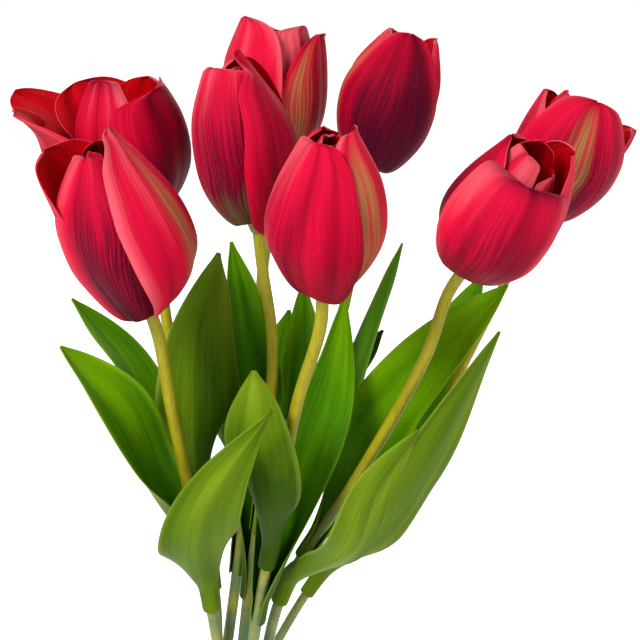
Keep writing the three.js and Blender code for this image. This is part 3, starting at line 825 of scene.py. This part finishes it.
print("the middle of a petal lies", round(wrinkles(0.0, 0.5, 0.0), 2), "mm out of the smooth cup")

# %% Shape one petal
petal_claw = 2.4
petal_tip = 0.5
petal_sector = 0.98
petal_spread = 0.32
petal_lap = 1.35


def petal_surface(petal, seat, flower):
    midline = petal_midline(petal, seat)
    fullest = petal["rise"] / (petal["rise"] + petal["blunt"])
    peak = fullest ** petal["rise"] * (1 - fullest) ** petal["blunt"]
    side = math.radians(petal["at"])
    turn = Vector((0, 0, 1)).rotation_difference(flower["axis"])
    left, right = petal["over"]
    wobble = petal["number"] * 1.7

    def section(along):
        along = (1 - math.cos(math.pi * along)) / 2 * 0.5 + along * 0.5
        point = uniform_curve(midline, along)
        heading = uniform_curve(midline, min(along + 0.001, 1))
        heading = (heading - uniform_curve(midline, max(along - 0.001, 0))).normalized()
        shape = max(along, 0) ** petal["rise"] * max(1 - along, 0) ** petal["blunt"] / peak
        half = petal_tip + petal_claw * (1 - along) ** 2 + petal["wide"] * shape
        round_at = max(point.x, hub_radius)
        tucked = ramp(hub_radius, hub_radius + 2.5, point.x)
        free = ramp(hub_radius + 2.5, hub_radius + 7, point.x) if left or right else 0
        arc = min(half / round_at, petal_sector + petal_spread * free)

        def place(across):
            lap = (left if across < 0 else right) * petal_lap
            proud = lap * abs(across) ** 1.5 * tucked + wrinkles(across, along, wobble)
            reach = round_at + proud * heading.y
            outward = point.x - round_at + reach * math.cos(arc * across)
            sideways = reach * math.sin(arc * across)
            local = Vector((
                outward * math.sin(side) + sideways * math.cos(side),
                -outward * math.cos(side) + sideways * math.sin(side),
                point.y - proud * heading.x,
            ))
            return flower["base"] + turn @ local

        return place

    return section


widest = math.degrees(2 * (petal_sector + petal_spread))
print("a petal spans at most", round(widest), "degrees of its cup")

# %% [markdown]
# Every petal also gets a number, which shifts its wrinkles and its print, so that no two of the 48
# look alike. The numbers are counted out and not drawn by chance, so the bunch is always the same.

# %% Number the petals
first_number = 14
number_cycle = 23
number_step = 0.37
petals_cut = 0
for flower in FLOWERS.values():
    for petal_row in (flower["outer"], flower["inner"]):
        for place_in_row, petal in enumerate(petal_row):
            whole_part = (first_number + petals_cut) % number_cycle
            petal["number"] = whole_part + number_step * place_in_row
            petals_cut += 1
print("petals", petals_cut)

# %% [markdown]
# A head has two layers of three petals, and each layer is one piece of cloth on the real flower. So
# the three sheets of a layer are joined into one piece, which takes the place of the coarse layer
# in the frame and rides on the bloom. The inner layer is the outer one again, set in by the gap
# between the layers.

# %% Make the heads
# These facts carry each petal's print and its painted side light.
PRINT_AND_PAINTED_LIGHT_FACTS = ("tone", "streaks", "band", "foot", "painted_side_light", "dark", "rim", "number")
petal_columns = 22
petal_rows = 30
petal_cloth_thickness = 0.45
layer_gap = 4.2
inner_seat = 1.1


def petal_layer(name, petals, form, seat, flower):
    pieces = []
    for petal in petals:
        whole = {**form, **petal}
        facts = {fact: whole[fact] for fact in PRINT_AND_PAINTED_LIGHT_FACTS}
        surface = petal_surface(whole, seat, flower)
        paints = [printed_cloth, plain_cloth]
        pieces.append(curved_sheet(
            name, surface, petal_columns, petal_rows, petal_cloth_thickness, paints, facts))
    return joined(name, pieces)


print("a petal is a grid of", petal_columns, "by", petal_rows)

# %% Make the eight heads
inner_drop = 3
inner_opening = 0.6
inner_streaks = 0.2


def inner_form_of(outer_form):
    return {
        **outer_form,
        "belly": outer_form["belly"] - layer_gap,
        "open": max(inner_opening * outer_form["open"], hub_radius - 1),
        "high": outer_form["high"] - inner_drop,
        "sag": outer_form["sag"] - inner_drop,
        "over": (0, 0),
        "streaks": inner_streaks,
    }


for letter, flower in FLOWERS.items():
    outer_form = {**PETAL, **flower["head"]}
    for kind, petals, form, seat in (
        ("outer_petals", flower["outer"], outer_form, 0.0),
        ("inner_petals", flower["inner"], inner_form_of(outer_form), inner_seat),
    ):
        piece = petal_layer(f"{letter}_{kind}", petals, form, seat, flower)
        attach(piece, "bloom_" + letter)
        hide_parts(f"{kind}_{letter}")
    print("head", letter, "has", len(piece.data.polygons), "faces in its inner layer")

# %% [markdown]
# Leaf cloth. A leaf of this kind is stiff fabric with a plastic coat. Its upper face is a mixed
# green with pale margins, its underside is yellower, and faint veins run from the foot to the tip.
# Each leaf's green is also painted darker or brighter by how much light it gets, and darker towards
# its foot, where shade falls in the bunch. The coat gives a satin gloss, so the material is a little
# smoother than the petals and has no sheen. Both faces are the same recipe with other colours, so
# one function mixes both.

# %% Mix the leaf cloth
leaf_shine = 0.06
margin_strength = 0.4
vein_bump = 0.45


def leaf_cloth(name, deep, middle, bright, margin, roughness):
    material, tree, shader = new_material(name, roughness)
    across, along = cloth_place(tree)
    edge = calculate(tree, "ABSOLUTE", across)
    broad = noise(tree, stretched(tree, across, along, 1.6, 1.8), 1.0, 2.0)
    fine = noise(tree, stretched(tree, across, along, 9.0, 1.4), 1.0, 3.0)
    veins = noise(tree, stretched(tree, across, along, 34.0, 1.1), 1.0, 1.0)
    # Painted light and shade: the leaf's light value sets its green by how it is lit, and its depth value
    # paints shade towards its foot and light towards its tip.
    light = off_centre(tree, broad, 1.2, attribute(tree, "light"))
    height = calculate(tree, "SUBTRACT", along, 0.6)
    light = calculate(tree, "MULTIPLY_ADD", height, attribute(tree, "depth"), light)
    light = off_centre(tree, fine, 0.25, light)
    light = off_centre(tree, veins, 0.16, light)
    low = mixed(tree, fade(tree, light, 0.0, 0.5), deep, middle)
    paint = mixed(tree, fade(tree, light, 0.4, 1.0), low, bright)
    rim = fade(tree, calculate(tree, "MULTIPLY_ADD", fine, 0.12, edge), 0.92, 1.04)
    paint = mixed(tree, calculate(tree, "MULTIPLY", rim, margin_strength), paint, margin)
    feed(tree, shader.inputs["Base Color"], paint)
    bumped(tree, shader, calculate(tree, "MULTIPLY_ADD", veins, 0.6, fine), vein_bump)
    shader.inputs["Specular IOR Level"].default_value = leaf_shine
    return material


leaf_face = leaf_cloth(
    "leaf_upper_face", shade(26, 70, 0), shade(70, 130, 0), shade(122, 178, 0), shade(148, 188, 36), 0.42)
leaf_back = leaf_cloth(
    "leaf_underside", shade(54, 84, 0), shade(94, 124, 8), shade(134, 158, 30), shade(150, 172, 60), 0.5)
print("leaf cloth mixed")

# %% [markdown]
# A leaf is one strip of cloth. Its foot is wrapped round the stem as a sleeve, then it opens like
# a funnel, leaves the stem and turns its hollow face the way it was bent. A flat leaf could be
# bent with a lattice, but it wouldn't hold its sleeve. So the formula keeps a sleeve radius while
# the leaf is tied, and then grows into the blade. Slow waves along the edges, and a shallow fold
# along the middle, keep it from looking like bent sheet metal.

# %% Find the line of a leaf
sheath_wrap = 2.6
sheath_gap = 0.45
sheath_length = 12.0
leaf_thickness = 0.55


def sheath_radius_on(flower):
    return (flower["radius"] + sheath_gap + leaf_thickness / 2) / math.cos(sheath_wrap / 6)


def leaf_spine(leaf, flower):
    path = flower["path"]
    start = path.share_at_height(leaf["start"])
    through = [Vector(point) for point in leaf["through"]]
    beside = path.place(path.share_at_height(through[0].z))
    heading = path.heading(start)
    away = through[0] - beside
    leave = (away - heading * away.dot(heading)).normalized()
    tied_at = [start + step * sheath_length / path.length for step in (0, 0.5, 1)]
    sleeve = [path.place(share) + leave * sheath_radius_on(flower) for share in tied_at]
    return SmoothCurve(sleeve + through), leave


first_spine, _ = leaf_spine(FLOWERS["a"]["leaves"][0], FLOWERS["a"])
print("the first leaf is", round(first_spine.length), "mm long")

# %% Shape one leaf
opening_length = 48.0
leaf_rise = 0.75
leaf_taper = 0.85
leaf_tip = 0.7
leaf_wave = 1.1
leaf_roll = 0.8
fold_depth = 0.5
fold_width = 0.13
vein_height = 0.1


def leaf_surface(leaf, flower):
    spine, leave = leaf_spine(leaf, flower)
    sheath_radius = sheath_radius_on(flower)
    sheath_share = sheath_length / spine.length
    open_share = sheath_share + leaf.get("opening", opening_length) / spine.length
    face = Vector(leaf["face"]).normalized()
    rise_power = leaf.get("rise", leaf_rise)
    taper_power = leaf.get("taper", leaf_taper)
    fullest = rise_power / (rise_power + taper_power)
    peak = fullest ** rise_power * (1 - fullest) ** taper_power
    number = leaf["number"]
    left, right = leaf.get("sides", (1.0, 1.0))

    def section(along):
        tangent = spine.heading(along)
        look = (-leave).lerp(face, ramp(0.6 * open_share, 1.5 * open_share, along))
        look = (look - tangent * look.dot(tangent)).normalized()
        side = tangent.cross(look)
        opened = ramp(0, open_share, along)
        wrap = sheath_wrap + (leaf["fold"] - sheath_wrap) * opened
        blade = max(along - sheath_share, 0) / (1 - sheath_share)
        grown = leaf["wide"] * blade ** rise_power * (1 - blade) ** taper_power / peak
        tied = sheath_radius * sheath_wrap * (1 - ramp(0, 0.3, blade))
        half = max(math.hypot(grown, tied), leaf_tip)
        round_at = half / wrap
        middle = spine.place(along)
        free = opened * ramp(1.0, 0.85, along)

        def place(across):
            turned = wrap * across * (1 + ((left if across < 0 else right) - 1) * opened)
            ripple = leaf_wave * math.sin(9 * along + 2.4 * number + 1.6 * across) * across * across
            ripple -= leaf_roll * ramp(0.7, 1.0, abs(across))
            crease = -fold_depth * math.exp(-(across / fold_width) ** 2)
            vein = vein_height * math.sin(30 * across + number)
            out = round_at - (ripple + crease + vein) * free
            return middle + side * (out * math.sin(turned)) + look * (round_at - out * math.cos(turned))

        return place

    return section


print("a leaf is tied over", sheath_length, "mm and opens over", opening_length, "mm")

# %% Place the leaves
leaf_columns = 18
leaf_rows = 56
leaf_number_step = 3.1
leaf_number_cycle = 11

for letter, flower in FLOWERS.items():
    for count, leaf in enumerate(flower["leaves"], start=1):
        leaf["number"] = leaf_number_step * count + ord(letter) % leaf_number_cycle
        # light and depth carry the painted light and shade of each leaf.
        facts = dict(light=leaf["light"], depth=leaf.get("depth", 0.0), number=leaf["number"])
        surface = leaf_surface(leaf, flower)
        name = f"{letter}_leaf_{count}"
        paints = [leaf_face, leaf_back]
        piece = curved_sheet(name, surface, leaf_columns, leaf_rows, leaf_thickness, paints, facts)
        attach(piece, "stalk_" + letter)
        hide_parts(f"leaf_{letter}_{count}")
    print("leaves of stem", letter, "placed")

# %% [markdown]
# Stems are soft plastic moulded over a wire. The plastic is yellow-green near the head and greyer
# towards the foot, with fine scratches along it and a low gloss. The scratches are noise on Object
# coordinates that a Mapping node stretches upwards.

# %% Mix the stem plastic
grey_green = shade(98, 126, 84)
yellow_green = shade(160, 150, 0)
pale_yellow = shade(186, 176, 24)
scratch_brown = shade(110, 112, 30)
greyer_below = 0.15
yellower_above = 0.22


def stem_plastic():
    material, tree, shader = new_material("stem_plastic", 0.36)
    coordinates = tree.nodes.new("ShaderNodeTexCoord")
    split = tree.nodes.new("ShaderNodeSeparateXYZ")
    tree.links.new(coordinates.outputs["Object"], split.inputs[0])
    mapping = tree.nodes.new("ShaderNodeMapping")
    mapping.inputs["Scale"].default_value = (1.0, 1.0, 0.08)
    tree.links.new(coordinates.outputs["Object"], mapping.inputs["Vector"])
    fine = noise(tree, mapping.outputs[0], 1400.0, 2.0)
    broad = noise(tree, coordinates.outputs["Object"], 60.0, 2.0)
    height = fade(tree, split.outputs["Z"], greyer_below, yellower_above)
    paint = mixed(tree, height, grey_green, yellow_green)
    paint = mixed(tree, fade(tree, broad, 0.35, 0.7, 0.0, 0.6), paint, pale_yellow)
    paint = mixed(tree, fade(tree, fine, 0.45, 0.75, 0.0, 0.45), paint, scratch_brown)
    feed(tree, shader.inputs["Base Color"], paint)
    bumped(tree, shader, fine, 0.25)
    shader.inputs["Specular IOR Level"].default_value = 0.3
    return material


moulded_stem = stem_plastic()
print("stem plastic mixed")

# %% [markdown]
# Each stem is a round bar. A cylinder would have to be bent at every ring, while a curve with a
# bevel is round and even by itself, and is then turned into a mesh. The ball at its foot sits in
# the crown, and the thin peg at its top holds the head.

# %% Make the stems
stem_rings = 48
ball_radius = 2.8
peg_radius = 1.4
peg_length = 6.0
peg_root = 1.0


def round_bar(name, path, radius):
    deselect_all()
    bpy.ops.curve.primitive_nurbs_path_add()
    bar = bpy.context.object
    bar.name = name
    line = bar.data
    line.splines.clear()
    spline = line.splines.new("POLY")
    spline.points.add(stem_rings)
    for step, point in enumerate(spline.points):
        point.co = (*(path.place(step / stem_rings) * MM), 1.0)
    line.bevel_depth = radius * MM
    line.bevel_resolution = 3
    line.use_fill_caps = True
    bpy.ops.object.convert(target="MESH")
    return bpy.context.object


def foot_ball(flower):
    deselect_all()
    bpy.ops.mesh.primitive_uv_sphere_add(
        segments=24, ring_count=16, radius=ball_radius * MM, location=flower["foot"] * MM)
    bpy.ops.object.transform_apply(location=True, rotation=True, scale=True)
    return bpy.context.object


for letter, flower in FLOWERS.items():
    stem = round_bar(letter + "_stem", flower["path"], flower["radius"])
    top = flower["path"].place(1.0)
    peg_line = SmoothCurve([top - flower["axis"] * peg_root, top + flower["axis"] * peg_length])
    peg = round_bar(letter + "_peg", peg_line, peg_radius)
    piece = joined(letter + "_stem", [stem, foot_ball(flower), peg])
    piece.data.materials.clear()
    piece.data.materials.append(moulded_stem)
    bpy.ops.object.transform_apply(location=True, rotation=True, scale=True)
    bpy.ops.object.shade_smooth()
    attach(piece, "stalk_" + letter)
    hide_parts("stem_" + letter)
print("stems made")

# %% [markdown]
# The handle, its wire, the crown, the cups and the stamens keep the meshes of the frame, because
# they are plain turned or moulded forms. They only get their finish: plastic with a faint grain
# and slightly uneven colour, and the same in steel grey for the wire, which the handle hides.

# %% Paint the remaining parts
grain_bump = 0.08


def plain_finish(name, first, second, roughness):
    material, tree, shader = new_material(name, roughness)
    coordinates = tree.nodes.new("ShaderNodeTexCoord")
    broad = noise(tree, coordinates.outputs["Object"], 90.0, 3.0)
    grain = noise(tree, coordinates.outputs["Object"], 1500.0, 2.0)
    feed(tree, shader.inputs["Base Color"], mixed(tree, fade(tree, broad, 0.35, 0.65), first, second))
    bumped(tree, shader, grain, grain_bump)
    return material


holder_plastic = plain_finish("holder_plastic", shade(84, 104, 44), shade(100, 118, 52), 0.42)
cup_plastic = plain_finish("cup_plastic", shade(132, 132, 60), shade(150, 142, 72), 0.55)
stamen_plastic = plain_finish("stamen_plastic", shade(196, 176, 70), shade(216, 200, 96), 0.5)
wire_steel = plain_finish("wire_steel", shade(120, 122, 124), shade(140, 142, 144), 0.35)
finishes = {
    "handle": holder_plastic, "crown": holder_plastic, "cup": cup_plastic,
    "stamens": stamen_plastic, "core": wire_steel,
}
painted = 0
for node, piece in frame["nodes"].items():
    finish = finishes.get(node.split("_")[0])
    if finish:
        painted += 1
        for place in piece.material_slots:
            place.material = finish
print("parts painted", painted)
